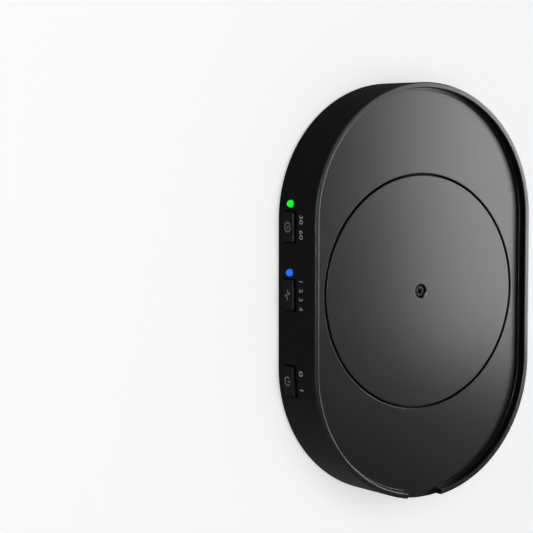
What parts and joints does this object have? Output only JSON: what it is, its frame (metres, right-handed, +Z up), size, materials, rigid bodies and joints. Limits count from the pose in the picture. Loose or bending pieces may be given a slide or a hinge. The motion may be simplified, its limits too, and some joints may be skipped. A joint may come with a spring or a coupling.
{
  "type": "mouse jiggler",
  "caption": "Flat obround desk unit with a raised rim, a turning disc flush in its deck for a computer mouse to stand on, side push buttons and indicator lamps.",
  "frame": {"origin": "on the desk plane, under the turntable's axis, at the middle of the feet", "axes": "+Z up, +Y along the length towards the end with the closed rim, rim gap and supply socket at the -Y end, buttons and lamps on the -X side"},
  "size_m": [0.1018, 0.154, 0.025],
  "materials": {
    "shell": "black, fine spark-eroded texture",
    "shell_base": "black, fine texture",
    "disc": "black, fine spark-eroded texture",
    "button": "black, smoother than the housing",
    "screw_black": "black zinc",
    "screw_steel": "plated",
    "feet": "soft, matte",
    "lamp_green": "lit, clear dome",
    "lamp_blue": "lit, clear dome",
    "steel": "ground",
    "bronze": "sintered bronze, oiled",
    "brass": "machined",
    "gear_white": "acetal",
    "plate": "galvanised sheet",
    "zinc": "galvanised sheet",
    "stator": "stamped",
    "copper": "enamelled copper winding",
    "ferrite": "sintered magnet, treated as plastic",
    "connector": "nylon",
    "ribbon": "flat flexible lead",
    "board": "solder mask",
    "chip": "moulded epoxy",
    "tin": "tinned",
    "capacitor": "sleeved can",
    "resistor": "ceramic",
    "switch": "moulded",
    "switch_plunger": "moulded",
    "socket_metal": "plated",
    "tongue": "moulded",
    "wire_red": "insulation"
  },
  "bodies": {
    "housing": {"top_shell": "shell", "base_cover": "shell_base", "cover_screws": "screw_black", "rubber_feet": "feet", "upper_bushing": "bronze", "thrust_washer": "bronze", "bearing_plate": "plate", "plate_screws": "screw_steel", "lower_bushing": "bronze", "idler_axle": "steel", "motor_flange": "zinc", "motor_case": "zinc", "motor_bushings": "bronze", "motor_stator": "stator", "motor_coils": "copper", "motor_screws": "screw_steel", "motor_terminal": "connector", "motor_lead": "ribbon", "motor_plug": "connector", "motor_header": "connector", "main_board": "board", "board_screws": "screw_steel", "control_chip": "chip", "chip_pins": "tin", "driver_chip": "chip", "capacitors": "capacitor", "chip_resistors": "resistor", "timer_switch": "switch", "activity_switch": "switch", "power_switch": "switch", "timer_led": "lamp_green", "activity_led": "lamp_blue", "led_leads": "tin", "usb_board": "board", "usb_board_screws": "screw_steel", "usb_socket": "socket_metal", "usb_tongue": "tongue", "supply_wires": "wire_red", "supply_plug": "connector", "supply_header": "connector"},
    "turntable": {"turntable_disc": "disc", "turntable_screw": "screw_black", "spindle": "steel", "spindle_clip": "steel", "final_gear": "gear_white"},
    "idler": {"idler_gear": "gear_white"},
    "rotor": {"rotor_shaft": "steel", "rotor_magnet": "ferrite", "motor_pinion": "brass"},
    "timer_key": {"timer_button": "button", "timer_plunger": "switch_plunger"},
    "activity_key": {"activity_button": "button", "activity_plunger": "switch_plunger"},
    "power_key": {"power_button": "button", "power_plunger": "switch_plunger"}
  },
  "joints": [
    {"name": "turntable_spin", "type": "hinge", "parent": "housing", "child": "turntable", "pos_m": [0, 0, 0.0105], "axis": [0, 0, 1], "continuous": true},
    {"name": "idler_spin", "type": "hinge", "parent": "housing", "child": "idler", "pos_m": [0.00479, 0.01787, 0.0095], "axis": [0, 0, 1], "continuous": true},
    {"name": "rotor_spin", "type": "hinge", "parent": "housing", "child": "rotor", "pos_m": [0.01964, 0.01995, 0.011], "axis": [0, 0, 1], "continuous": true},
    {"name": "timer_press", "type": "slide", "parent": "housing", "child": "timer_key", "axis": [1, 0, 0], "range_m": [0, 0.0004], "stiffness_N_per_m": 3000},
    {"name": "activity_press", "type": "slide", "parent": "housing", "child": "activity_key", "axis": [1, 0, 0], "range_m": [0, 0.0004], "stiffness_N_per_m": 3000},
    {"name": "power_press", "type": "slide", "parent": "housing", "child": "power_key", "axis": [0.9965, 0.0839, 0], "range_m": [0, 0.0004], "stiffness_N_per_m": 3000}
  ],
  "couplings": [
    {"joint": "idler_spin", "follows": "turntable_spin", "ratio": -4.2857},
    {"joint": "rotor_spin", "follows": "turntable_spin", "ratio": 17.143}
  ]
}
